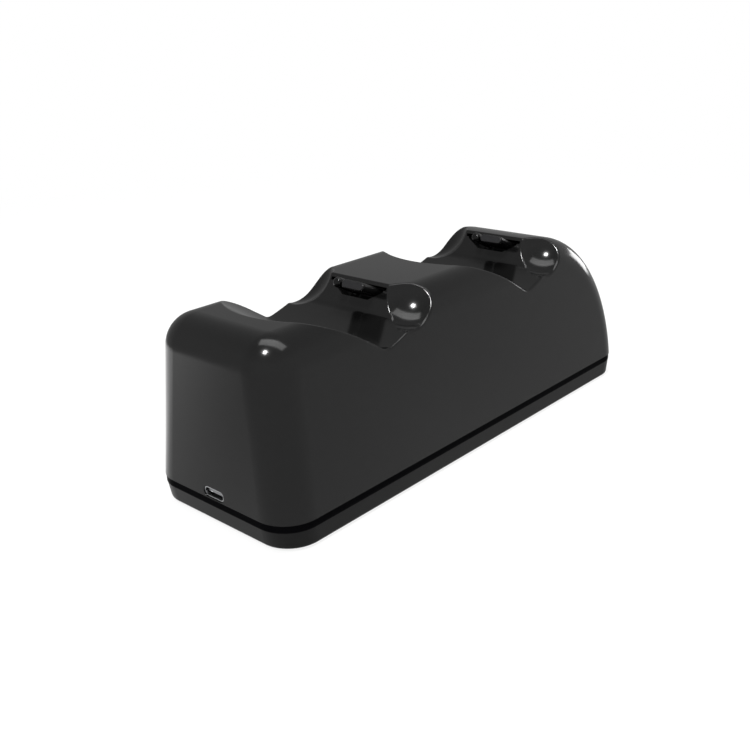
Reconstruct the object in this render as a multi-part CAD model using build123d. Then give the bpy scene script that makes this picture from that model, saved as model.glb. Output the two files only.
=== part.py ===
from build123d import *
import math
import os

# A two-bay controller charging dock. Sizes are in millimetres and angles in degrees.
# It stands on its feet at z = 0, its length lies along X, and its socket end is at -X.

# Overall form
LENGTH = 187.0
WIDTH = 64.0
SHELL_RISE = 52.9
SIDE_DRAFT = 6.9
END_DRAFT = 3.2
PLAN_CORNER = 11.5
ROOF_EDGE = 10.6
SHELL_WALL = 2.2
EDGE_ROUND = 0.8

# Stack of base, band and shell
FOOT_STAND = 0.6
BASE_HEIGHT = 5.9
BAND_HEIGHT = 2.4

# Cradles: each is a dished ramp, a hollowed floor and a leaning wall with a scoop at either end
NEAR_WALL_TOP = -26.2
CRADLE_PITCH = 75.5
CRADLE_MOUTH = 48.6
WALL_SLOPE = 64.0
WALL_DEPTH = 10.8
FLOOR_SLOPE = 22.0
FLOOR_DISH = 100.0
FLOOR_BLEND = 3.0
VALLEY_ROUND = 3.0
RAMP_SLOPE = 35.0
RAMP_DISH = 58.5
SCOOP_RADIUS = 12.9
SCOOP_SPREAD = 25.0
SCOOP_LEAD = 5.2
SCOOP_LIFT = 1.5
DOME_SETBACK = 2.0

# Window in each leaning wall, measured down the wall from its top edge
WINDOW_LIP = 1.2
WINDOW_HALF = 11.3
WINDOW_SHOULDER = 2.8
WINDOW_FOOT = 5.6
WINDOW_DROP = 6.3
WINDOW_CORNER = 1.2
WINDOW_EAR = 1.0
WINDOW_EAR_DROP = 2.3

# Charging plug and guide post that stand out of the window, and the holder they are pressed into
PLUG_WIDTH = 9.6
PLUG_THICKNESS = 3.0
PLUG_NOSE = 0.5
GUIDE_DIAMETER = 3.5
GUIDE_NOSE = 1.2
STEM_SPREAD = 3.7
STEM_DROP = 3.2
STEM_REACH = 6.8
STEM_COLLAR = 0.25
STEM_COLLAR_HEIGHT = 0.8
STEM_FIT = 0.05
HOLDER_RECESS = 2.5
HOLDER_BACK = 1.7
HOLDER_RIM = 0.6
HOLDER_GAP = 0.15
HOLDER_SIDE = 3.0
HOLDER_TAPER = 2.4
HOLDER_FOOT = 3.2
EAR_HALF = 3.6
EAR_DROP = 14.2
CONTACT_BOARD_MARGIN = 2.3
CONTACT_BOARD_THICKNESS = 1.2

# Screws that hold the plug holders to the shell
PLUG_SCREW_DROP = 11.4
PLUG_SCREW_SHANK = 2.0
PLUG_SCREW_LENGTH = 5.4
PLUG_SCREW_HEAD = 3.6
PLUG_SCREW_HEAD_HEIGHT = 1.3
PLUG_BOSS_DIAMETER = 5.4
PLUG_BOSS_HEIGHT = 2.0

# Base cover
BASE_INSET = 0.3
SIDE_LEAN = 0.2
END_LEAN = 1.0
BASE_EDGE = 1.0
BASE_FLOOR = 2.4
LIP_THICKNESS = 1.4
LIP_RISE = 2.6
LIP_GAP = 0.15
LIP_NOTCH_GAP = 0.5

# Light band between base and shell
BAND_INSET = 0.2
BAND_THICKNESS = 2.0
INLET_WIDTH = 4.0

# Rubber feet
FOOT_DIAMETER = 12.0
FOOT_RECESS = 1.0
FOOT_END_INSET = 14.5
FOOT_SIDE_INSET = 13.0
FOOT_EDGE = 0.25
FOOT_FIT = 0.1

# Screws that hold the base cover to the shell
BASE_SCREW_END_INSET = 31.5
BASE_SCREW_SIDE_INSET = 12.0
BASE_SCREW_SHANK = 2.6
BASE_SCREW_LENGTH = 12.0
BASE_SCREW_HEAD = 5.4
BASE_SCREW_HEAD_HEIGHT = 1.9
BASE_SCREW_SEAT = 3.0
POST_DIAMETER = 8.0
POST_RISE = 6.5
BOSS_DIAMETER = 7.0
SCREW_FIT = 0.15

# Main board and what stands on it
BOARD_START = 4.4
BOARD_LENGTH = 52.0
BOARD_WIDTH = 27.0
BOARD_THICKNESS = 1.6
BOARD_SCREW_INSET = 3.0
BOARD_SCREW_SETBACK = 11.0
BOARD_SCREW_SHANK = 1.8
BOARD_SCREW_LENGTH = 5.0
BOARD_SCREW_HEAD = 3.4
BOARD_SCREW_HEAD_HEIGHT = 1.2
BOARD_POST = 5.0

# Charging socket in the near end
PORT_RISE = 2.0
SOCKET_WIDTH = 8.94
SOCKET_HEIGHT = 3.16
SOCKET_LENGTH = 7.35
SOCKET_WALL = 0.3
SOCKET_SETBACK = 0.25
SOCKET_TONGUE_WIDTH = 6.7
SOCKET_TONGUE_THICKNESS = 0.7
SOCKET_TONGUE_SETBACK = 0.9
SOCKET_BLOCK = 1.6
PORT_GAP = 0.2

# Chips, coils and lamps, set back from the board's near edge, and lead sockets, set in from its far edge
CHIP_SIZE = 5.0
CHIP_HEIGHT = 0.9
CHIP_SETBACK = 22.0
CHIP_SPREAD = 6.0
COIL_DIAMETER = 6.0
COIL_HEIGHT = 3.0
COIL_WAIST = 4.4
COIL_FLANGE = 0.7
COIL_SETBACK = 32.0
COIL_SPREAD = 7.0
LAMP_WIDTH = 3.0
LAMP_DEPTH = 1.6
LAMP_HEIGHT = 1.0
LAMP_SPREAD = 9.5
LAMP_GAP = 0.3
LEAD_SOCKET_LENGTH = 4.5
LEAD_SOCKET_WIDTH = 6.0
LEAD_SOCKET_HEIGHT = 6.0
LEAD_SOCKET_INSET = 6.0
LEAD_SPREAD = 6.0

# Leads from the main board to the two plugs
WIRE_DIAMETER = 1.3
WIRE_GAP = 0.3
WIRE_BEND = 4.0
LEAD_RISE = 8.0
LEAD_TURN = 10.0
LEAD_LANDING = 5.0
FLOOR_RUN_GAP = 0.2
FLOOR_RUN_START = 7.0

# Levels and places that follow from the sizes above
BASE_TOP = FOOT_STAND + BASE_HEIGHT
BAND_TOP = BASE_TOP + BAND_HEIGHT
ROOF = BAND_TOP + SHELL_RISE
FLOOR_TOP = FOOT_STAND + BASE_FLOOR
POST_TOP = FLOOR_TOP + POST_RISE
PORT_Z = BAND_TOP + PORT_RISE
BOARD_TOP = PORT_Z - SOCKET_HEIGHT / 2
BOARD_UNDER = BOARD_TOP - BOARD_THICKNESS
BOARD_NEAR = -LENGTH / 2 + BOARD_START
BOARD_FAR = BOARD_NEAR + BOARD_LENGTH
LIP_INSET = SHELL_WALL + LIP_GAP
BASE_INNER = LIP_INSET + LIP_THICKNESS
HOLDER_DEPTH = HOLDER_RECESS + HOLDER_BACK
HOLDER_HALF = WINDOW_HALF + HOLDER_RIM
HOLDER_END = WINDOW_DROP + HOLDER_FOOT
LEAD_SOCKET_X = BOARD_FAR - LEAD_SOCKET_INSET
WALL_TOPS = {"near": NEAR_WALL_TOP, "far": NEAR_WALL_TOP + CRADLE_PITCH}
DOME_START = WALL_TOPS["far"] + DOME_SETBACK
SIDES = (-1, 1)
ENDLESS = 2 * LENGTH
QUARTER_TURN = 90.0
ON_FLOOR = (Align.CENTER, Align.CENTER, Align.MIN)


def tangent(angle):
    """The tangent of an angle in degrees."""
    return math.tan(math.radians(angle))


def heading(angle):
    """A unit vector in the XZ plane, turned up from +X."""
    return Vector(math.cos(math.radians(angle)), 0, math.sin(math.radians(angle)))


def body_form(inset, end_inset=None):
    """The dock's plain form above the band: straight sides with draft, a flat roof and a domed far end."""
    half_length = LENGTH / 2 - (inset if end_inset is None else end_inset)
    half_width = WIDTH / 2 - inset
    roof = ROOF - inset
    rise = roof - BAND_TOP
    near_top = -half_length + rise * tangent(END_DRAFT)
    top_half = half_width - rise * tangent(SIDE_DRAFT)
    near_foot = (-half_length, BAND_TOP)
    far_foot = (half_length, BAND_TOP)
    straights = Polyline(far_foot, near_foot, (near_top, roof), (DOME_START, roof))
    dome_centre = (DOME_START, BAND_TOP)
    dome = EllipticalCenterArc(dome_centre, half_length - DOME_START, rise, arc_size=QUARTER_TURN)
    side = make_face([*straights.edges(), dome])
    end_corners = [(-half_width, BAND_TOP), (half_width, BAND_TOP), (top_half, roof), (-top_half, roof)]
    end = make_face(Polyline(*end_corners, close=True))
    length_block = extrude(Plane.XZ.offset(-WIDTH) * side, amount=2 * WIDTH)
    width_block = extrude(Plane.YZ.offset(-LENGTH) * end, amount=2 * LENGTH)
    form = length_block & width_block
    near_face = form.faces().sort_by(Axis.X)[0]
    uprights = [edge for edge in near_face.edges() if abs(edge.center().Y) > top_half / 2]
    form = fillet(uprights, PLAN_CORNER - inset)
    roof_face = form.faces().filter_by(Plane.XY).sort_by(Axis.Z)[-1]
    dome_face = form.faces().sort_by(Axis.X)[-1]
    kept = (roof_face.edges() & dome_face.edges()) + form.faces().sort_by(Axis.Z)[0].edges()
    brow = [edge for edge in roof_face.edges() + dome_face.edges() if edge not in kept]
    return fillet(brow, ROOF_EDGE - inset)


def plan(inset, level, end_inset=None):
    """The dock's outline at the band, drawn in by a distance and laid at a level."""
    face = body_form(inset, end_inset).faces().sort_by(Axis.Z)[0]
    return Pos(0, 0, level - BAND_TOP) * face


def prism(inset, low, high):
    """An upright block on the dock's outline."""
    return extrude(plan(inset, low), amount=high - low, dir=(0, 0, 1))


def cradle_air(wall_top, grow):
    """The space a controller fills: above the ramp, floor and wall, and in the two round scoops."""
    top = Vector(wall_top, 0, ROOF)
    corner = top - heading(WALL_SLOPE) * WALL_DEPTH
    high = top + heading(WALL_SLOPE) * ENDLESS
    hub = corner + heading(FLOOR_SLOPE + QUARTER_TURN) * FLOOR_DISH
    floor = CenterArc((hub.X, hub.Z), FLOOR_DISH, -QUARTER_TURN, FLOOR_SLOPE)
    far = hub - heading(QUARTER_TURN) * FLOOR_DISH - heading(0) * ENDLESS
    rest = Polyline(floor @ 1, (high.X, high.Z), (far.X, high.Z), (far.X, far.Z), floor @ 0)
    face = make_face([floor, *rest.edges()])
    face = fillet(face.vertices().sort_by_distance((corner.X, corner.Z))[0], FLOOR_BLEND)
    if grow:
        face = offset(face, grow, kind=Kind.INTERSECTION)
    slot = extrude(Plane.XZ.offset(-ENDLESS) * face, amount=2 * ENDLESS)
    crest = Vector(wall_top - CRADLE_MOUTH, 0, ROOF)
    down = heading(-RAMP_SLOPE)
    middle = crest + heading(QUARTER_TURN - RAMP_SLOPE) * RAMP_DISH
    trough = Plane(middle, x_dir=(0, 1, 0), z_dir=down) * Cylinder(RAMP_DISH + grow, ENDLESS)
    air = slot & trough
    valley = air.edges().sort_by(Axis.Z)[0]
    air = fillet(valley, VALLEY_ROUND + grow)
    for side in SIDES:
        place = Pos(wall_top - SCOOP_LEAD, side * SCOOP_SPREAD, ROOF + SCOOP_LIFT)
        air += place * Rot(Y=QUARTER_TURN) * Sphere(SCOOP_RADIUS + grow)
    return air


def wall_plane(wall_top):
    """On the leaning wall: origin at its top edge, local x along the edge, y down the wall, z out of it."""
    return Plane((wall_top, 0, ROOF), x_dir=(0, 1, 0), z_dir=heading(WALL_SLOPE + QUARTER_TURN))


def even_face(right):
    """A face whose left side mirrors the points of its right side."""
    left = [(-x, y) for x, y in reversed(right)]
    return make_face(Polyline(*right, *left, close=True))


def pocket_face():
    """The pocket round the plug: a shallow trapezium with soft lower corners."""
    shoulder = (WINDOW_HALF, WINDOW_SHOULDER)
    face = even_face([(WINDOW_HALF, WINDOW_LIP), shoulder, (WINDOW_FOOT, WINDOW_DROP)])
    return fillet(face.vertices().filter_by(lambda v: v.Y > WINDOW_LIP), WINDOW_CORNER)


def window_face():
    """The hole in the leaning wall: the pocket, and a short ear at either end of its top."""
    tall = WINDOW_EAR_DROP - WINDOW_LIP
    ears = Rectangle(2 * (WINDOW_HALF + WINDOW_EAR), tall, align=(Align.CENTER, Align.MIN))
    return pocket_face() + Pos(0, WINDOW_LIP) * ears


def holder_top():
    """How far down the wall the holder starts, to clear the underside of the roof."""
    lean = math.radians(WALL_SLOPE)
    return SHELL_WALL * (1 - math.cos(lean)) / math.sin(lean) + HOLDER_GAP


def holder_face():
    """The holder's outline: wide behind the window, tapering to an ear for its screw."""
    right = [
        (HOLDER_HALF, holder_top()),
        (HOLDER_HALF, WINDOW_SHOULDER + HOLDER_SIDE),
        (WINDOW_FOOT + HOLDER_TAPER, HOLDER_END),
        (EAR_HALF, HOLDER_END),
        (EAR_HALF, EAR_DROP),
    ]
    return even_face(right)


def screw(shank, length, head, head_height):
    """A pan-head screw with its head's underside at the origin and its shank pointing up."""
    body = Cylinder(shank / 2, length, align=ON_FLOOR)
    body = chamfer(body.edges().sort_by(Axis.Z)[-1], shank / 4)
    cap = Cylinder(head / 2, head_height, align=(Align.CENTER, Align.CENTER, Align.MAX))
    cap = chamfer(cap.edges().sort_by(Axis.Z)[0], head_height / 2)
    return body + cap


def upright(diameter, low, high, x, y):
    """An upright round post, boss or hole."""
    return Pos(x, y, low) * Cylinder(diameter / 2, high - low, align=ON_FLOOR)


def base_screw_places():
    """The four screws that go up through the base cover into the shell."""
    x = LENGTH / 2 - BASE_SCREW_END_INSET
    y = WIDTH / 2 - BASE_SCREW_SIDE_INSET
    return [(end * x, side * y) for end in SIDES for side in SIDES]


def board_screw_places():
    """The four screws of the main board; the near pair stands back to clear the socket."""
    low = BOARD_NEAR + BOARD_SCREW_SETBACK
    high = BOARD_FAR - BOARD_SCREW_INSET
    reach = BOARD_WIDTH / 2 - BOARD_SCREW_INSET
    return [(x, side * reach) for x in (low, high) for side in SIDES]


def foot_places():
    """The four feet, by corner."""
    x = LENGTH / 2 - FOOT_END_INSET
    y = WIDTH / 2 - FOOT_SIDE_INSET
    return {"near_left": (-x, y), "near_right": (-x, -y), "far_left": (x, y), "far_right": (x, -y)}


def upper_shell():
    """One moulding: the hollow outer form with both cradles, their windows, and screw bosses inside."""
    form = body_form(0)
    skin = form
    hollow = body_form(SHELL_WALL)
    for wall_top in WALL_TOPS.values():
        skin -= cradle_air(wall_top, 0)
        hollow -= cradle_air(wall_top, SHELL_WALL)
    solid = fillet(new_edges(form, combined=skin), EDGE_ROUND)
    for x, y in base_screw_places():
        hollow -= upright(BOSS_DIAMETER, POST_TOP, ROOF, x, y)
    for wall_top in WALL_TOPS.values():
        boss = Pos(0, PLUG_SCREW_DROP) * Circle(PLUG_BOSS_DIAMETER / 2)
        hollow -= extrude(wall_plane(wall_top) * boss, amount=-(SHELL_WALL + PLUG_BOSS_HEIGHT))
    shell = solid - hollow
    for wall_top in WALL_TOPS.values():
        on_wall = wall_plane(wall_top)
        shell -= extrude(on_wall * window_face(), amount=-2 * SHELL_WALL, both=True)
        pilot = Pos(0, PLUG_SCREW_DROP) * Circle(PLUG_SCREW_SHANK / 2 + SCREW_FIT)
        depth = SHELL_WALL + PLUG_BOSS_HEIGHT
        length = PLUG_SCREW_LENGTH - CONTACT_BOARD_THICKNESS - HOLDER_DEPTH + PLUG_BOSS_HEIGHT + SCREW_FIT
        shell -= extrude(on_wall.offset(-depth) * pilot, amount=length)
    screw_end = FOOT_STAND + BASE_SCREW_SEAT + BASE_SCREW_LENGTH
    for x, y in base_screw_places():
        shell -= upright(BASE_SCREW_SHANK + SCREW_FIT, POST_TOP, screw_end + SCREW_FIT, x, y)
    port = SlotOverall(SOCKET_WIDTH + 2 * PORT_GAP, SOCKET_HEIGHT + 2 * PORT_GAP)
    port_plane = Plane((-LENGTH / 2, 0, PORT_Z), x_dir=(0, -1, 0), z_dir=(1, 0, 0))
    shell -= extrude(port_plane * port, amount=SOCKET_LENGTH, both=True)
    return shell


def light_band():
    """A smoke-tinted ring that carries light round the dock, with two inlets at the near end."""
    ring = prism(BAND_INSET, BASE_TOP, BAND_TOP) - prism(BAND_INSET + BAND_THICKNESS, BASE_TOP, BAND_TOP)
    start = -LENGTH / 2 + BAND_INSET + BAND_THICKNESS / 2
    for side in SIDES:
        length = lamp_face() - LAMP_GAP - start
        inlet = Box(length, INLET_WIDTH, BAND_HEIGHT, align=(Align.MIN, Align.CENTER, Align.MIN))
        ring += Pos(start, side * LAMP_SPREAD, BASE_TOP) * inlet
    return ring


def base_cover():
    """The tray that closes the dock from below: leaning rim, locating lip, posts and foot recesses."""
    rim = plan(BASE_INSET, BASE_TOP)
    sole = plan(BASE_INSET + SIDE_LEAN, FOOT_STAND, BASE_INSET + END_LEAN)
    tray = loft([sole, rim], ruled=True)
    tray = fillet(tray.faces().sort_by(Axis.Z)[0].edges(), BASE_EDGE)
    lip = prism(LIP_INSET, BASE_TOP, BAND_TOP)
    lip += split(body_form(LIP_INSET), bisect_by=Plane.XY.offset(BAND_TOP + LIP_RISE), keep=Keep.BOTTOM)
    notch = Box(2 * BOARD_START, BOARD_WIDTH + 2 * LIP_NOTCH_GAP, ROOF, align=ON_FLOOR)
    lip -= Pos(-LENGTH / 2, 0, BASE_TOP) * notch
    cover = tray + lip - prism(BASE_INNER, FLOOR_TOP, ROOF)
    for x, y in base_screw_places():
        cover += upright(POST_DIAMETER, FOOT_STAND + BASE_FLOOR / 2, POST_TOP, x, y)
    for x, y in board_screw_places():
        cover += upright(BOARD_POST, FOOT_STAND + BASE_FLOOR / 2, BOARD_UNDER, x, y)
    for x, y in base_screw_places():
        seat = FOOT_STAND + BASE_SCREW_SEAT
        cover -= upright(BASE_SCREW_SHANK + 2 * SCREW_FIT, FOOT_STAND, POST_TOP, x, y)
        cover -= upright(BASE_SCREW_HEAD + 4 * SCREW_FIT, 0, seat, x, y)
    for x, y in board_screw_places():
        low = BOARD_TOP - BOARD_SCREW_LENGTH - SCREW_FIT
        cover -= upright(BOARD_SCREW_SHANK + SCREW_FIT, low, BOARD_UNDER, x, y)
    for x, y in foot_places().values():
        cover -= upright(FOOT_DIAMETER + 2 * FOOT_FIT, 0, FOOT_STAND + FOOT_RECESS, x, y)
    return cover


def foot(x, y):
    """A stick-on rubber pad that sits in a shallow recess."""
    pad = upright(FOOT_DIAMETER, 0, FOOT_STAND + FOOT_RECESS, x, y)
    return chamfer(pad.edges().sort_by(Axis.Z)[0], FOOT_EDGE)


def base_screws():
    """Screws that hold the base cover to the shell's bosses."""
    one = screw(BASE_SCREW_SHANK, BASE_SCREW_LENGTH, BASE_SCREW_HEAD, BASE_SCREW_HEAD_HEIGHT)
    return [Pos(x, y, FOOT_STAND + BASE_SCREW_SEAT) * one for x, y in base_screw_places()]


def board_screws():
    """Screws that hold the main board to its posts, heads up."""
    one = screw(BOARD_SCREW_SHANK, BOARD_SCREW_LENGTH, BOARD_SCREW_HEAD, BOARD_SCREW_HEAD_HEIGHT)
    turned = Rot(X=2 * QUARTER_TURN) * one
    return [Pos(x, y, BOARD_TOP) * turned for x, y in board_screw_places()]


def stems():
    """What is pressed into a holder, by name: its section, its place along the window and its nose's round."""
    plug = SlotOverall(PLUG_WIDTH, PLUG_THICKNESS)
    post = Circle(GUIDE_DIAMETER / 2)
    return {"charge_plug": (plug, -STEM_SPREAD, PLUG_NOSE), "guide_post": (post, STEM_SPREAD, GUIDE_NOSE)}


def plug_holder(wall_top):
    """The tray behind the window, screwed to the wall, with a hole for the plug and one for the guide post."""
    inner_face = wall_plane(wall_top).offset(-SHELL_WALL)
    block = extrude(inner_face * holder_face(), amount=-HOLDER_DEPTH)
    ear = Pos(0, PLUG_SCREW_DROP) * Rectangle(2 * EAR_HALF, 2 * (EAR_DROP - PLUG_SCREW_DROP))
    block -= extrude(inner_face * ear, amount=-PLUG_BOSS_HEIGHT)
    block -= extrude(inner_face * pocket_face(), amount=-HOLDER_RECESS)
    recess_floor = inner_face.offset(-HOLDER_RECESS)
    for section, along, _ in stems().values():
        hole = Pos(along, STEM_DROP) * offset(section, STEM_FIT)
        block -= extrude(recess_floor * hole, amount=-HOLDER_BACK)
    screw_hole = Pos(0, PLUG_SCREW_DROP) * Circle(PLUG_SCREW_SHANK / 2 + SCREW_FIT)
    block -= extrude(inner_face * screw_hole, amount=-HOLDER_DEPTH)
    return block


def stem(wall_top, section, along, nose):
    """A plug or post from the holder's back to its round nose, with a collar that seats on the holder."""
    back = SHELL_WALL + HOLDER_DEPTH
    body = extrude(section, amount=back + STEM_REACH)
    body = fillet(body.faces().sort_by(Axis.Z)[-1].edges(), nose)
    body += Pos(0, 0, HOLDER_BACK) * extrude(offset(section, STEM_COLLAR), amount=STEM_COLLAR_HEIGHT)
    return wall_plane(wall_top).offset(-back) * Pos(along, STEM_DROP) * body


def contact_board(wall_top):
    """A small board on the back of the holder, where the plug's contacts and the lead are soldered."""
    back = wall_plane(wall_top).offset(-SHELL_WALL - HOLDER_DEPTH)
    half = HOLDER_HALF - CONTACT_BOARD_MARGIN
    top = holder_top()
    outline = even_face([(half, top), (half, HOLDER_END), (EAR_HALF, HOLDER_END), (EAR_HALF, EAR_DROP)])
    outline -= Pos(0, PLUG_SCREW_DROP) * Circle(PLUG_SCREW_SHANK / 2 + SCREW_FIT)
    return extrude(back * outline, amount=-CONTACT_BOARD_THICKNESS)


def plug_screws():
    """Screws that hold each contact board and plug holder to the shell."""
    one = screw(PLUG_SCREW_SHANK, PLUG_SCREW_LENGTH, PLUG_SCREW_HEAD, PLUG_SCREW_HEAD_HEIGHT)
    depth = SHELL_WALL + HOLDER_DEPTH + CONTACT_BOARD_THICKNESS
    return [wall_plane(top).offset(-depth) * Pos(0, PLUG_SCREW_DROP) * one for top in WALL_TOPS.values()]


def main_board():
    """The charging circuit's board, screwed to posts in the base cover."""
    middle = (BOARD_NEAR + BOARD_FAR) / 2
    board = Pos(middle, 0, BOARD_UNDER) * Box(BOARD_LENGTH, BOARD_WIDTH, BOARD_THICKNESS, align=ON_FLOOR)
    for x, y in board_screw_places():
        board -= upright(BOARD_SCREW_SHANK + 2 * SCREW_FIT, BOARD_UNDER, BOARD_TOP, x, y)
    return board


def on_board(shape, setback, y):
    """Stands a shape on the main board, a distance in from the near edge."""
    return Pos(BOARD_NEAR + setback, y, BOARD_TOP) * shape


def socket_mouth():
    """Where the near end's leaning face crosses the socket's level, less a small setback."""
    return -LENGTH / 2 + PORT_RISE * tangent(END_DRAFT) + SOCKET_SETBACK


def socket_shell():
    """The socket's folded metal tube, open at the mouth."""
    plane = Plane((socket_mouth(), 0, PORT_Z), x_dir=(0, -1, 0), z_dir=(1, 0, 0))
    outer = SlotOverall(SOCKET_WIDTH, SOCKET_HEIGHT)
    inner = SlotOverall(SOCKET_WIDTH - 2 * SOCKET_WALL, SOCKET_HEIGHT - 2 * SOCKET_WALL)
    return extrude(plane * (outer - inner), amount=SOCKET_LENGTH)


def socket_tongue():
    """The plastic tongue in the middle of the socket and the block that holds it at the back."""
    mouth = socket_mouth()
    plane = Plane((mouth + SOCKET_LENGTH, 0, PORT_Z), x_dir=(0, 1, 0), z_dir=(-1, 0, 0))
    block = SlotOverall(SOCKET_WIDTH - 2 * SOCKET_WALL, SOCKET_HEIGHT - 2 * SOCKET_WALL)
    tongue = Rectangle(SOCKET_TONGUE_WIDTH, SOCKET_TONGUE_THICKNESS)
    solid = extrude(plane * block, amount=SOCKET_BLOCK)
    solid += extrude(plane * tongue, amount=SOCKET_LENGTH - SOCKET_TONGUE_SETBACK)
    return solid


def charge_chip(side):
    """The chip that charges one bay."""
    chip = Box(CHIP_SIZE, CHIP_SIZE, CHIP_HEIGHT, align=ON_FLOOR)
    return on_board(chip, CHIP_SETBACK, side * CHIP_SPREAD)


def power_coil(side):
    """A wound drum core: two flanges and a waist full of wire."""
    waist = Cylinder(COIL_WAIST / 2, COIL_HEIGHT, align=ON_FLOOR)
    flange = Cylinder(COIL_DIAMETER / 2, COIL_FLANGE, align=ON_FLOOR)
    drum = waist + flange + Pos(0, 0, COIL_HEIGHT - COIL_FLANGE) * flange
    return on_board(drum, COIL_SETBACK, side * COIL_SPREAD)


def lamp_face():
    """How far along X the lamps' lit faces stand, flush with the board's near edge."""
    return BOARD_NEAR


def status_lamps():
    """Side-facing lamps under the board's near edge, level with the light band."""
    lamp = Box(LAMP_DEPTH, LAMP_WIDTH, LAMP_HEIGHT, align=(Align.MIN, Align.CENTER, Align.MAX))
    return [Pos(lamp_face(), side * LAMP_SPREAD, BOARD_UNDER) * lamp for side in SIDES]


def lead_socket(side):
    """A two-way header for a lead."""
    body = Box(LEAD_SOCKET_LENGTH, LEAD_SOCKET_WIDTH, LEAD_SOCKET_HEIGHT, align=ON_FLOOR)
    return on_board(body, BOARD_LENGTH - LEAD_SOCKET_INSET, side * LEAD_SPREAD)


def lead_route(wall_top, y, along_floor):
    """From the top of a lead socket to the back of a contact board."""
    back = wall_plane(wall_top).offset(-SHELL_WALL - HOLDER_DEPTH - CONTACT_BOARD_THICKNESS)
    landing = back.from_local_coords(Vector(y, LEAD_LANDING, 0))
    turn = back.from_local_coords(Vector(y, LEAD_LANDING, -LEAD_TURN))
    start = BOARD_TOP + LEAD_SOCKET_HEIGHT
    points = [Vector(LEAD_SOCKET_X, y, start), Vector(LEAD_SOCKET_X, y, start + LEAD_RISE)]
    if along_floor:
        floor = FLOOR_TOP + WIRE_DIAMETER / 2 + FLOOR_RUN_GAP
        drop = BOARD_FAR + FLOOR_RUN_START
        points.append(Vector(drop, y, start + LEAD_RISE))
        points.append(Vector(drop, y, floor))
        points.append(Vector(turn.X, y, floor))
    else:
        points.append(Vector(turn.X, y, start + 2 * LEAD_RISE))
    return points + [turn, landing]


def lead(wall_top, side, along_floor):
    """Two insulated wires that run side by side."""
    wires = []
    for step in SIDES:
        y = side * LEAD_SPREAD + step * (WIRE_DIAMETER + WIRE_GAP) / 2
        path = FilletPolyline(*lead_route(wall_top, y, along_floor), radius=WIRE_BEND)
        section = Plane(path @ 0, z_dir=path % 0) * Circle(WIRE_DIAMETER / 2)
        wires.append(sweep(section, path=path))
    return wires


def nodes():
    """Every piece of the dock, by name."""
    pieces = {
        "upper_shell": upper_shell(),
        "light_band": light_band(),
        "base_cover": base_cover(),
        "base_screws": base_screws(),
        "main_board": main_board(),
        "board_screws": board_screws(),
        "socket_shell": socket_shell(),
        "socket_tongue": socket_tongue(),
        "status_lamps": status_lamps(),
        "plug_screws": plug_screws(),
    }
    for name, (x, y) in foot_places().items():
        pieces["foot_" + name] = foot(x, y)
    for bay, side in (("near", 1), ("far", -1)):
        wall_top = WALL_TOPS[bay]
        pieces[bay + "_plug_holder"] = plug_holder(wall_top)
        for name, (section, along, nose) in stems().items():
            pieces[bay + "_" + name] = stem(wall_top, section, along, nose)
        pieces[bay + "_contact_board"] = contact_board(wall_top)
        pieces[bay + "_charge_chip"] = charge_chip(side)
        pieces[bay + "_power_coil"] = power_coil(side)
        pieces[bay + "_lead_socket"] = lead_socket(side)
        pieces[bay + "_lead"] = lead(wall_top, side, bay == "far")
    return pieces


os.makedirs("parts", exist_ok=True)
for name, piece in nodes().items():
    solids = piece if isinstance(piece, list) else [piece]
    shape = Compound(children=[Part(solid.wrapped) for solid in solids]) if len(solids) > 1 else solids[0]
    export_step(shape, "parts/" + name + ".step")
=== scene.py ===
import math
import bmesh
import bpy
from mathutils import Matrix, Quaternion, Vector


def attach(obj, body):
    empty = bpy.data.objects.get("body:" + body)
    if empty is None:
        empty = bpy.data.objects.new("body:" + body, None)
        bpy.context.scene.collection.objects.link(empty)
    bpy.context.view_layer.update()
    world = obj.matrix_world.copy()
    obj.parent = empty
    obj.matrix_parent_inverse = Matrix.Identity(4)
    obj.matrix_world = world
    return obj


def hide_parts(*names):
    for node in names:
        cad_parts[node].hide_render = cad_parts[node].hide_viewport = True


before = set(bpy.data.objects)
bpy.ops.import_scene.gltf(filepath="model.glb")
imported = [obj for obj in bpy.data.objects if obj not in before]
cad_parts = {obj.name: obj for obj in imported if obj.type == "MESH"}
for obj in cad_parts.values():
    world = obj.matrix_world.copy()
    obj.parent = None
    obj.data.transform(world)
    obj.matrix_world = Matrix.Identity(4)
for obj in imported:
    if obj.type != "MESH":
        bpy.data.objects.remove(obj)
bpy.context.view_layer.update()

# Base cover: the shallow tray that closes the dock from below, held to the shell by four screws.
# It is injection-moulded black ABS from a spark-eroded tool, so the eye gets a dull, even sheen.
# The real grain is about 0.05 mm wide. Here and below it is drawn coarser, so that it shows.
MM = 0.001
BASE_BLACK = "#0a0a0a"
BASE_MOTTLE = "#0d0d0d"
TONE_DRIFT = 16.0
DRIFT_DETAIL = 3.0
GRAIN_DETAIL = 2.0
GLOSS_DRIFT = 0.03
RELIEF_STRENGTH = 0.5
COLOUR_A = 6
COLOUR_B = 7
COLOUR_MIXED = 2


def linear(colour):
    """The linear colour of an sRGB hex value."""
    parts = [int(colour[i:i + 2], 16) / 255 for i in (1, 3, 5)]
    return [c / 12.92 if c <= 0.04045 else ((c + 0.055) / 1.055) ** 2.4 for c in parts] + [1.0]


def add(tree, kind, sockets=None, **settings):
    """A node with its settings, its inputs either linked or set."""
    node = tree.nodes.new(kind)
    for name, value in settings.items():
        setattr(node, name, value)
    for name, value in (sockets or {}).items():
        if isinstance(value, bpy.types.NodeSocket):
            tree.links.new(value, node.inputs[name])
        else:
            node.inputs[name].default_value = value
    return node


def blank(name):
    """An empty node material."""
    material = bpy.data.materials.new(name)
    material.use_nodes = True
    material.node_tree.nodes.clear()
    return material


def dress(material, *names):
    """Gives CAD nodes their finish."""
    for name in names:
        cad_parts[name].material_slots[0].material = material


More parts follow.
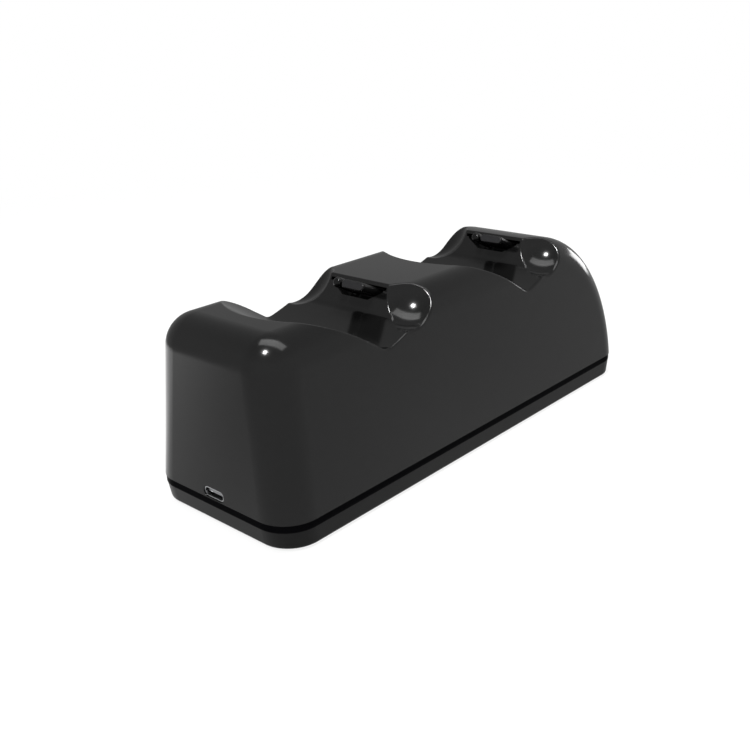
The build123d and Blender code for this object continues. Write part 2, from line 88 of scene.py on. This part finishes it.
def moulding(name, colour, mottle, roughness, grain, depth, ior, level=0.5):
    """Moulded plastic, whose tone and gloss drift a little. The relief's grain and depth are in mm."""
    material = blank(name)
    tree = material.node_tree
    place = add(tree, "ShaderNodeTexCoord").outputs["Object"]
    drift = add(tree, "ShaderNodeTexNoise", {
        "Vector": place, "Scale": 1 / (TONE_DRIFT * MM), "Detail": DRIFT_DETAIL}).outputs["Fac"]
    pits = add(tree, "ShaderNodeTexNoise", {
        "Vector": place, "Scale": 1 / (grain * MM), "Detail": GRAIN_DETAIL}).outputs["Fac"]
    tone = add(tree, "ShaderNodeMix", {
        "Factor": drift, COLOUR_A: linear(colour), COLOUR_B: linear(mottle)}, data_type="RGBA", name="tone")
    sheen = add(tree, "ShaderNodeMapRange", {
        "Value": drift, "To Min": roughness - GLOSS_DRIFT, "To Max": roughness + GLOSS_DRIFT})
    relief = add(tree, "ShaderNodeBump", {
        "Height": pits, "Strength": RELIEF_STRENGTH, "Distance": depth * MM})
    skin = add(tree, "ShaderNodeBsdfPrincipled", {
        "Base Color": tone.outputs[COLOUR_MIXED], "Roughness": sheen.outputs["Result"],
        "Normal": relief.outputs["Normal"], "IOR": ior, "Specular IOR Level": level}, name="skin")
    add(tree, "ShaderNodeOutputMaterial", {"Surface": skin.outputs["BSDF"]})
    return material


base_abs = moulding("satin_black_abs_base", BASE_BLACK, BASE_MOTTLE,
                    roughness=0.34, grain=0.5, depth=0.004, ior=1.54, level=0.16)
dress(base_abs, "base_cover")

# Four round feet: die-cut rubber pads, pressed into recesses under the base cover.
# The rubber is matt and a little dusty, so it takes the light flat and greyish.
RUBBER = "#161616"
RUBBER_DUST = "#232323"
rubber = moulding("matt_black_rubber", RUBBER, RUBBER_DUST,
                  roughness=0.82, grain=0.7, depth=0.03, ior=1.52, level=0.4)
dress(rubber, "foot_near_left", "foot_near_right", "foot_far_left", "foot_far_right")

# Base screws: four pan-head screws that go up through the base cover into the shell's bosses.
# They are cold-headed steel with a driver's cross in each head, and zinc plate gives a pale, flecked shine.
# The board screws and plug screws inside are of the same steel.
ZINC = "#a9abae"
ZINC_DULL = "#8d9094"
SCREW_X = 62.0
SCREW_Y = 20.0
SCREW_SEAT = 3.6
SCREW_HEAD = 2.7
SCREW_HEAD_HEIGHT = 1.9
SCREW_SHANK = 1.3
SCREW_LENGTH = 12.0
HEAD_INSET = 0.45
HEAD_CROWN = 0.25
HEAD_ROUND = 0.95
TIP_LENGTH = 0.8
TIP_RADIUS = 0.5
CROSS_REACH = 1.45
CROSS_HALF = 0.34
CROSS_DEPTH = 1.1
CROSS_RIM = 1.9
CROSS_TAPER = 0.62
QUARTERS = 4
TURNS = 32
FLECK_DETAIL = 4.0
FLECK_BRIGHT = 0.06
FLECK_DULL = 0.08


def steel(name, colour, shadow, roughness, fleck):
    """Plated or bright metal, whose gloss is broken by fine flecks, sized in mm."""
    material = blank(name)
    tree = material.node_tree
    place = add(tree, "ShaderNodeTexCoord").outputs["Object"]
    flecks = add(tree, "ShaderNodeTexNoise", {
        "Vector": place, "Scale": 1 / (fleck * MM), "Detail": FLECK_DETAIL}).outputs["Fac"]
    tone = add(tree, "ShaderNodeMix", {
        "Factor": flecks, COLOUR_A: linear(colour), COLOUR_B: linear(shadow)}, data_type="RGBA")
    sheen = add(tree, "ShaderNodeMapRange", {
        "Value": flecks, "To Min": roughness - FLECK_BRIGHT, "To Max": roughness + FLECK_DULL})
    skin = add(tree, "ShaderNodeBsdfPrincipled", {
        "Base Color": tone.outputs[COLOUR_MIXED], "Roughness": sheen.outputs["Result"], "Metallic": 1.0})
    add(tree, "ShaderNodeOutputMaterial", {"Surface": skin.outputs["BSDF"]})
    return material


def base_screw(work, x, y):
    """One screw, head down, with its cross recess."""
    bottom = SCREW_SEAT - SCREW_HEAD_HEIGHT
    tip_end = SCREW_SEAT + SCREW_LENGTH
    profile = [(CROSS_RIM, bottom), (SCREW_HEAD - HEAD_INSET, bottom + HEAD_CROWN),
               (SCREW_HEAD, bottom + HEAD_ROUND), (SCREW_HEAD, SCREW_SEAT), (SCREW_SHANK, SCREW_SEAT),
               (SCREW_SHANK, tip_end - TIP_LENGTH), (TIP_RADIUS, tip_end)]
    line = [work.verts.new((r * MM, 0, z * MM)) for r, z in profile]
    edges = [work.edges.new(pair) for pair in zip(line, line[1:])]
    bmesh.ops.spin(work, geom=line + edges, axis=(0, 0, 1), cent=(0, 0, 0), steps=TURNS,
                   angle=2 * math.pi, use_merge=True)
    open_edges = [e for e in work.edges if e.is_boundary]
    tip = [e for e in open_edges if e.verts[0].co.z > SCREW_SEAT * MM]
    rim = [e for e in open_edges if e not in tip]
    bmesh.ops.contextual_create(work, geom=tip)
    corners = []
    for quarter in range(QUARTERS):
        turn = Matrix.Rotation(quarter * 2 * math.pi / QUARTERS, 3, "Z")
        for u, v in ((CROSS_HALF, CROSS_HALF), (CROSS_REACH, CROSS_HALF), (CROSS_REACH, -CROSS_HALF)):
            corners.append(work.verts.new(turn @ Vector((u * MM, -v * MM, bottom * MM))))
    corners.sort(key=lambda c: math.atan2(c.co.y, c.co.x))
    cross = [work.edges.new(pair) for pair in zip(corners, corners[1:] + corners[:1])]
    bmesh.ops.bridge_loops(work, edges=rim + cross)
    sunk = bmesh.ops.extrude_edge_only(work, edges=cross)["geom"]
    bed = [g for g in sunk if isinstance(g, bmesh.types.BMVert)]
    bmesh.ops.scale(work, vec=(CROSS_TAPER, CROSS_TAPER, 1), verts=bed)
    bmesh.ops.translate(work, vec=(0, 0, CROSS_DEPTH * MM), verts=bed)
    bmesh.ops.contextual_create(work, geom=[g for g in sunk if isinstance(g, bmesh.types.BMEdge)
                                            and all(v in bed for v in g.verts)])
    bmesh.ops.recalc_face_normals(work, faces=work.faces)
    bmesh.ops.translate(work, vec=(x * MM, y * MM, 0), verts=work.verts)


zinc = steel("zinc_plated_steel", ZINC, ZINC_DULL, roughness=0.34, fleck=0.6)
screws = bmesh.new()
for screw_x in (-SCREW_X, SCREW_X):
    for screw_y in (-SCREW_Y, SCREW_Y):
        one = bmesh.new()
        base_screw(one, screw_x, screw_y)
        single = bpy.data.meshes.new("screw")
        one.to_mesh(single)
        one.free()
        screws.from_mesh(single)
        bpy.data.meshes.remove(single)
screw_mesh = bpy.data.meshes.new("base_cross_screws")
screws.to_mesh(screw_mesh)
screws.free()
screw_mesh.materials.append(zinc)
cross_screws = bpy.data.objects.new("base_cross_screws", screw_mesh)
bpy.context.scene.collection.objects.link(cross_screws)
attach(cross_screws, "root")
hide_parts("base_screws")
dress(zinc, "board_screws", "plug_screws")

# Light band: the dark ring between base and shell, clamped by both.
# It is a light guide moulded in smoke-tinted polycarbonate.
# Unlit, it swallows nearly all light, so it looks blacker than the plastic above and below it.
SMOKE = "#040405"
SMOKE_DEEP = "#060607"
smoke = moulding("smoke_tinted_polycarbonate", SMOKE, SMOKE_DEEP,
                 roughness=0.3, grain=0.8, depth=0.002, ior=1.58, level=0.004)
dress(smoke, "light_band")

# Main board and contact boards: glass-fibre boards, screwed to posts and bosses.
# Green solder mask over copper gives a glassy green, through which the glass weave shows faintly.
# The real weave repeats every 0.55 mm and is drawn coarser, so that it shows.
MASK_GREEN = "#12582f"
MASK_DARK = "#0c4425"
MASK_ROUGHNESS = 0.35
WEAVE = 3.456
WEAVE_WOBBLE = 0.6
WEAVE_RELIEF = 0.3
WEAVE_DEPTH = 0.01
WAVE_UNIT = 20 / (2 * math.pi)
board = blank("green_solder_mask")
tree = board.node_tree
place = add(tree, "ShaderNodeTexCoord").outputs["Object"]
threads = {"Vector": place, "Scale": 1 / (WAVE_UNIT * WEAVE * MM), "Distortion": WEAVE_WOBBLE}
warp = add(tree, "ShaderNodeTexWave", threads, bands_direction="X")
weft = add(tree, "ShaderNodeTexWave", threads, bands_direction="Y")
cloth = add(tree, "ShaderNodeMath", {0: warp.outputs["Fac"], 1: weft.outputs["Fac"]}, operation="MULTIPLY")
mask_tone = add(tree, "ShaderNodeMix", {
    "Factor": cloth.outputs[0], COLOUR_A: linear(MASK_GREEN), COLOUR_B: linear(MASK_DARK)}, data_type="RGBA")
mask_relief = add(tree, "ShaderNodeBump", {
    "Height": cloth.outputs[0], "Strength": WEAVE_RELIEF, "Distance": WEAVE_DEPTH * MM})
mask_skin = add(tree, "ShaderNodeBsdfPrincipled", {
    "Base Color": mask_tone.outputs[COLOUR_MIXED], "Roughness": MASK_ROUGHNESS,
    "Normal": mask_relief.outputs["Normal"]})
add(tree, "ShaderNodeOutputMaterial", {"Surface": mask_skin.outputs["BSDF"]})
dress(board, "main_board", "near_contact_board", "far_contact_board")

# What stands on the main board: two charging chips, two coils, two lamps and two lead sockets.
# All are soldered or glued to the board.
# Chips are pressed from filled epoxy, which is dull and slightly sandy.
EPOXY = "#1a1b1c"
EPOXY_PALE = "#222324"
epoxy = moulding("black_chip_epoxy", EPOXY, EPOXY_PALE, roughness=0.55, grain=0.25, depth=0.006, ior=1.54)
dress(epoxy, "near_charge_chip", "far_charge_chip")
# Coil cores are sintered ferrite, a dry dark grey with fine pores.
FERRITE = "#3a3a3c"
FERRITE_DARK = "#2e2e31"
ferrite = moulding("sintered_ferrite", FERRITE, FERRITE_DARK, roughness=0.6, grain=0.35, depth=0.02, ior=1.6)
dress(ferrite, "near_power_coil", "far_power_coil")
# Lamps are cast in milky epoxy, smooth and white.
MILKY = "#eef0f1"
MILKY_SHADE = "#e4e7e9"
milky = moulding("milky_lamp_epoxy", MILKY, MILKY_SHADE, roughness=0.3, grain=0.6, depth=0.004, ior=1.52)
dress(milky, "status_lamps")
# Lead sockets are moulded in undyed nylon, a waxy ivory.
IVORY = "#e7e1d1"
IVORY_SHADE = "#ddd6c3"
nylon = moulding("ivory_nylon", IVORY, IVORY_SHADE, roughness=0.48, grain=0.5, depth=0.01, ior=1.53)
dress(nylon, "near_lead_socket", "far_lead_socket")

# Two leads: pairs of wires from the lead sockets up to the contact boards, soldered there.
# Their black PVC is extruded, so it is smooth and a little shiny.
PVC_BLACK = "#131314"
PVC_PALE = "#1a1a1b"
pvc = moulding("black_wire_pvc", PVC_BLACK, PVC_PALE, roughness=0.42, grain=0.8, depth=0.006, ior=1.53)
dress(pvc, "near_lead", "far_lead")

# Upper shell: one moulding in black ABS with both cradles, screwed down onto the base cover.
# The tool is polished to a satin, so the eye sees a soft mirror of the room more than a colour.
SHELL_BLACK = "#090909"
SHELL_MOTTLE = "#0b0b0b"
shell_abs = moulding("satin_black_abs_shell", SHELL_BLACK, SHELL_MOTTLE,
                     roughness=0.14, grain=0.5, depth=0.001, ior=1.54, level=0.3)
dress(shell_abs, "upper_shell")

# Plug holders: the trays behind the windows, each screwed to the back of a leaning wall.
# Glass-filled nylon, moulded and left dull, so that the pocket round the plug stays black.
HOLDER_BLACK = "#050505"
HOLDER_MOTTLE = "#070707"
holder_nylon = moulding("dull_black_nylon", HOLDER_BLACK, HOLDER_MOTTLE,
                        roughness=0.6, grain=0.4, depth=0.01, ior=1.53, level=0.08)
dress(holder_nylon, "near_plug_holder", "far_plug_holder")

# Charging plugs: flat round-ended plugs that stand out of the windows, pressed into the holders.
# They are black nylon, and their end is painted paler than the sides, as painted light on the face turned out
# to the lamps.
# Where the painted light falls is found by how squarely a face looks out of the leaning wall.
PLUG_BLACK = "#0b0b0b"
PLUG_END_PAINTED_LIGHT = "#212122"
WALL_LEAN = math.radians(64)
OUT_OF_WALL = (-math.sin(WALL_LEAN), 0, math.cos(WALL_LEAN))
END_LIGHT_START = 0.8
END_LIGHT_FULL = 0.97
plug_nylon = moulding("plug_nylon_painted_end_light", PLUG_BLACK, PLUG_BLACK,
                      roughness=0.3, grain=0.4, depth=0.002, ior=1.53, level=0.15)
tree = plug_nylon.node_tree
normal = add(tree, "ShaderNodeTexCoord").outputs["Normal"]
# Painted light: the face that looks squarely out of the wall is given a paler tone.
squareness = add(tree, "ShaderNodeVectorMath", {0: normal, 1: OUT_OF_WALL}, operation="DOT_PRODUCT")
painted_end_light = add(tree, "ShaderNodeMapRange", {
    "Value": squareness.outputs["Value"], "From Min": END_LIGHT_START, "From Max": END_LIGHT_FULL})
lit_end_tone = add(tree, "ShaderNodeMix", {
    "Factor": painted_end_light.outputs["Result"], COLOUR_A: tree.nodes["tone"].outputs[COLOUR_MIXED],
    COLOUR_B: linear(PLUG_END_PAINTED_LIGHT)}, data_type="RGBA")
tree.links.new(lit_end_tone.outputs[COLOUR_MIXED], tree.nodes["skin"].inputs["Base Color"])
dress(plug_nylon, "near_charge_plug", "far_charge_plug")

# Guide posts: round posts beside the plugs that find the controller's second hole, pressed into the holders.
# They are turned from hard black acetal and polished, so that the round nose carries one bright glint.
POST_BLACK = "#080808"
POST_MOTTLE = "#0a0a0a"
post_acetal = moulding("polished_black_acetal", POST_BLACK, POST_MOTTLE,
                       roughness=0.1, grain=0.4, depth=0.001, ior=1.53, level=0.22)
dress(post_acetal, "near_guide_post", "far_guide_post")

# Charging socket: a folded shell of nickel-plated steel in the near end, soldered to the main board.
# The plating is bright, so the mouth is a thin shining ring.
# The tongue carries tinned contact faces, which are a little duller.
NICKEL = "#cfd0d1"
NICKEL_SHADE = "#bfc0c2"
TIN = "#b4b5b7"
TIN_SHADE = "#9c9da0"
bright = steel("bright_socket_steel", NICKEL, NICKEL_SHADE, roughness=0.22, fleck=0.7)
dress(bright, "socket_shell")
tinned = steel("tinned_tongue_contacts", TIN, TIN_SHADE, roughness=0.4, fleck=0.5)
dress(tinned, "socket_tongue")

# Studio floor: a wide sheet of white paper that takes the dock's soft shadow, and is clear from below.
# In reflections it is painted to run into the walls without a seam: bright behind the camera, dim at the far
# side.
# A painted pool of light lies on it at the near end's left, seen only in reflections. Lengths here are in
# metres.
FLOOR_HALF = 30.0
FLOOR_WHITE = "#f2f2f2"
PURE_WHITE = "#ffffff"
WHITE_LEVEL = 1.0
FLOOR_GLOW = 0.85
GLOW_FROM = 0.2
GLOW_TO = 0.6
SEAM_RISE = (0, 0, 0.06)
DARK_SIDE = (0.5, 0.87, 0.0)
BRIGHT_FROM = -0.6
DIM_FROM = 1.0
BRIGHT_WALL = 0.70
DIM_WALL = 0.30
POOL_LEVEL = 1.25
POOL_AXIS = (1, 1, 0)
POOL_EDGE_FROM = -0.1
POOL_EDGE_TO = 0.02
POOL_PLACE = (-0.16, 0.14, 0.0)
POOL_CORE = 0.09
POOL_REACH = 0.24
sheet = bmesh.new()
bmesh.ops.create_grid(sheet, x_segments=1, y_segments=1, size=FLOOR_HALF)
floor_mesh = bpy.data.meshes.new("studio_floor")
sheet.to_mesh(floor_mesh)
sheet.free()
floor = bpy.data.objects.new("studio_floor", floor_mesh)
bpy.context.scene.collection.objects.link(floor)
paper = blank("white_studio_paper")
tree = paper.node_tree
path = add(tree, "ShaderNodeLightPath")
place = add(tree, "ShaderNodeTexCoord").outputs["Object"]
raised = add(tree, "ShaderNodeVectorMath", {0: place, 1: SEAM_RISE}, operation="ADD")
outward = add(tree, "ShaderNodeVectorMath", {0: raised.outputs["Vector"]}, operation="NORMALIZE")
darkward = add(tree, "ShaderNodeVectorMath", {0: outward.outputs["Vector"], 1: DARK_SIDE},
               operation="DOT_PRODUCT")
surround = add(tree, "ShaderNodeMapRange", {
    "Value": darkward.outputs["Value"], "From Min": BRIGHT_FROM, "From Max": DIM_FROM,
    "To Min": BRIGHT_WALL, "To Max": DIM_WALL})
# The painted pool of light, which only reflections show.
pool_side = add(tree, "ShaderNodeVectorMath", {0: place, 1: POOL_AXIS}, operation="DOT_PRODUCT")
pool_edge = add(tree, "ShaderNodeMapRange", {
    "Value": pool_side.outputs["Value"], "From Min": POOL_EDGE_FROM, "From Max": POOL_EDGE_TO,
    "To Min": 0.0, "To Max": POOL_LEVEL}, interpolation_type="SMOOTHSTEP")
from_pool = add(tree, "ShaderNodeVectorMath", {0: place, 1: POOL_PLACE}, operation="DISTANCE")
pool_round = add(tree, "ShaderNodeMapRange", {
    "Value": from_pool.outputs["Value"], "From Min": POOL_CORE, "From Max": POOL_REACH,
    "To Min": 1.0, "To Max": 0.0}, interpolation_type="SMOOTHSTEP")
pool = add(tree, "ShaderNodeMath", {0: pool_edge.outputs["Result"], 1: pool_round.outputs["Result"]},
           operation="MULTIPLY")
mirror_level = add(tree, "ShaderNodeMath", {0: surround.outputs["Result"], 1: pool.outputs[0]},
                   operation="ADD")
matt = add(tree, "ShaderNodeBsdfDiffuse", {"Color": linear(FLOOR_WHITE)})
white = add(tree, "ShaderNodeEmission", {"Color": linear(PURE_WHITE), "Strength": WHITE_LEVEL})
mirrored = add(tree, "ShaderNodeEmission", {"Color": linear(PURE_WHITE), "Strength": mirror_level.outputs[0]})
from_dock = add(tree, "ShaderNodeVectorMath", {0: place}, operation="LENGTH")
glow = add(tree, "ShaderNodeMapRange", {
    "Value": from_dock.outputs["Value"], "From Min": GLOW_FROM, "From Max": GLOW_TO,
    "To Min": FLOOR_GLOW, "To Max": WHITE_LEVEL}, interpolation_type="SMOOTHSTEP")
camera_glow = add(tree, "ShaderNodeMath", {0: path.outputs["Is Camera Ray"], 1: glow.outputs["Result"]},
                  operation="MULTIPLY")
in_mirror = add(tree, "ShaderNodeMath", {
    0: path.outputs["Is Glossy Ray"], 1: path.outputs["Is Transmission Ray"]}, operation="MAXIMUM")
plain = add(tree, "ShaderNodeMixShader", {0: camera_glow.outputs[0], 1: matt.outputs[0], 2: white.outputs[0]})
upper = add(tree, "ShaderNodeMixShader", {
    0: in_mirror.outputs[0], 1: plain.outputs[0], 2: mirrored.outputs[0]})
below = add(tree, "ShaderNodeNewGeometry").outputs["Backfacing"]
clear = add(tree, "ShaderNodeBsdfTransparent")
sided = add(tree, "ShaderNodeMixShader", {0: below, 1: upper.outputs[0], 2: clear.outputs[0]})
add(tree, "ShaderNodeOutputMaterial", {"Surface": sided.outputs[0]})
floor_mesh.materials.append(paper)

# Studio walls and sky: white for the camera, and an even soft grey for plain light.
# In reflections the wall behind the camera is brighter than the far one, and the sky is a little darker.
FILL = 0.3
SKY_SHARE = 0.7
SKY_FROM = 0.4
SKY_TO = 0.85
world = bpy.data.worlds.new("white_studio")
bpy.context.scene.world = world
world.use_nodes = True
tree = world.node_tree
tree.nodes.clear()
path = add(tree, "ShaderNodeLightPath")
outward = add(tree, "ShaderNodeTexCoord").outputs["Generated"]
darkward = add(tree, "ShaderNodeVectorMath", {0: outward, 1: DARK_SIDE}, operation="DOT_PRODUCT")
surround = add(tree, "ShaderNodeMapRange", {
    "Value": darkward.outputs["Value"], "From Min": BRIGHT_FROM, "From Max": DIM_FROM,
    "To Min": BRIGHT_WALL, "To Max": DIM_WALL})
height = add(tree, "ShaderNodeSeparateXYZ", {0: outward}).outputs["Z"]
sky = add(tree, "ShaderNodeMapRange", {
    "Value": height, "From Min": SKY_FROM, "From Max": SKY_TO, "To Min": 1.0, "To Max": SKY_SHARE})
mirror_level = add(tree, "ShaderNodeMath", {0: surround.outputs["Result"], 1: sky.outputs["Result"]},
                   operation="MULTIPLY")
in_mirror = add(tree, "ShaderNodeMath", {
    0: path.outputs["Is Glossy Ray"], 1: path.outputs["Is Transmission Ray"]}, operation="MAXIMUM")
fill = add(tree, "ShaderNodeBackground", {"Color": linear(PURE_WHITE), "Strength": FILL})
walls = add(tree, "ShaderNodeBackground", {"Color": linear(PURE_WHITE), "Strength": mirror_level.outputs[0]})
white = add(tree, "ShaderNodeBackground", {"Color": linear(PURE_WHITE), "Strength": WHITE_LEVEL})
unseen = add(tree, "ShaderNodeMixShader", {0: in_mirror.outputs[0], 1: fill.outputs[0], 2: walls.outputs[0]})
all_rays = add(tree, "ShaderNodeMixShader", {
    0: path.outputs["Is Camera Ray"], 1: unseen.outputs[0], 2: white.outputs[0]})
add(tree, "ShaderNodeOutputWorld", {"Surface": all_rays.outputs[0]})

# Lamps: a long soft strip overhead, a small box behind the far end, and a small round lamp in front.
# The strip is three boxes in one, each smaller than the last, so that it is brightest in its middle.
# Sizes and places are in metres, levels in watts, and each lamp points at the dock.
AIM = Vector((0.0, 0.0, 0.03))
STRIP_LENGTH = 0.9
STRIP_WIDTH = 0.34
STRIP_PLACE = (0.05, -0.02, 0.85)
STRIP_TURN = 45.0
STRIP_LAYERS = ((1.0, 3.0), (0.7, 3.8), (0.4, 3.6))
FAR_SIZE = 0.3
FAR_PLACE = (0.9, -0.05, 0.03)
FAR_WATTS = 1.6
ROUND_SIZE = 0.15
ROUND_PLACE = (-0.46, -0.13, 0.83)
ROUND_WATTS = 7.5


def lamp(name, shape, length, width, place, watts, turn=0):
    """An area lamp that faces the dock, turned about its own axis by an angle in degrees."""
    light = bpy.data.lights.new(name, "AREA")
    light.shape = shape
    light.size = length
    light.size_y = width
    light.energy = watts
    box = bpy.data.objects.new(name, light)
    bpy.context.scene.collection.objects.link(box)
    box.location = place
    facing = (AIM - Vector(place)).to_track_quat("-Z", "Y")
    box.rotation_euler = (facing @ Quaternion((0, 0, 1), math.radians(turn))).to_euler()
    box.visible_camera = False


for share, watts in STRIP_LAYERS:
    lamp("overhead_strip_%d" % (100 * share), "RECTANGLE", STRIP_LENGTH * share, STRIP_WIDTH * share,
         STRIP_PLACE, watts, STRIP_TURN)
lamp("far_strip", "RECTANGLE", FAR_SIZE, FAR_SIZE, FAR_PLACE, FAR_WATTS)
lamp("round_lamp", "DISK", ROUND_SIZE, ROUND_SIZE, ROUND_PLACE, ROUND_WATTS)

# Camera: off the dock's near corner and a little above it, at the photograph's viewing angle.
# The place is in metres, the lens in millimetres.
CAMERA_PLACE = (-0.2388, -0.2029, 0.1434)
HEADING = math.radians(42.934)
PITCH = math.radians(21.508)
ROLL = math.radians(-2.296)
LENS = 44.48
SENSOR = 36.0
NEAREST = 0.01
lens = bpy.data.cameras.new("photo_camera")
lens.lens = LENS
lens.sensor_width = SENSOR
lens.clip_start = NEAREST
ahead = Vector((math.cos(HEADING) * math.cos(PITCH), math.sin(HEADING) * math.cos(PITCH), -math.sin(PITCH)))
across = Vector((math.sin(HEADING), -math.cos(HEADING), 0))
upward = across.cross(ahead)
level = Matrix((across, upward, -ahead)).transposed()
camera = bpy.data.objects.new("photo_camera", lens)
camera.matrix_world = Matrix.Translation(CAMERA_PLACE) @ (level @ Matrix.Rotation(ROLL, 3, "Z")).to_4x4()
bpy.context.scene.collection.objects.link(camera)
bpy.context.scene.camera = camera
bpy.context.scene.view_settings.view_transform = "Standard"
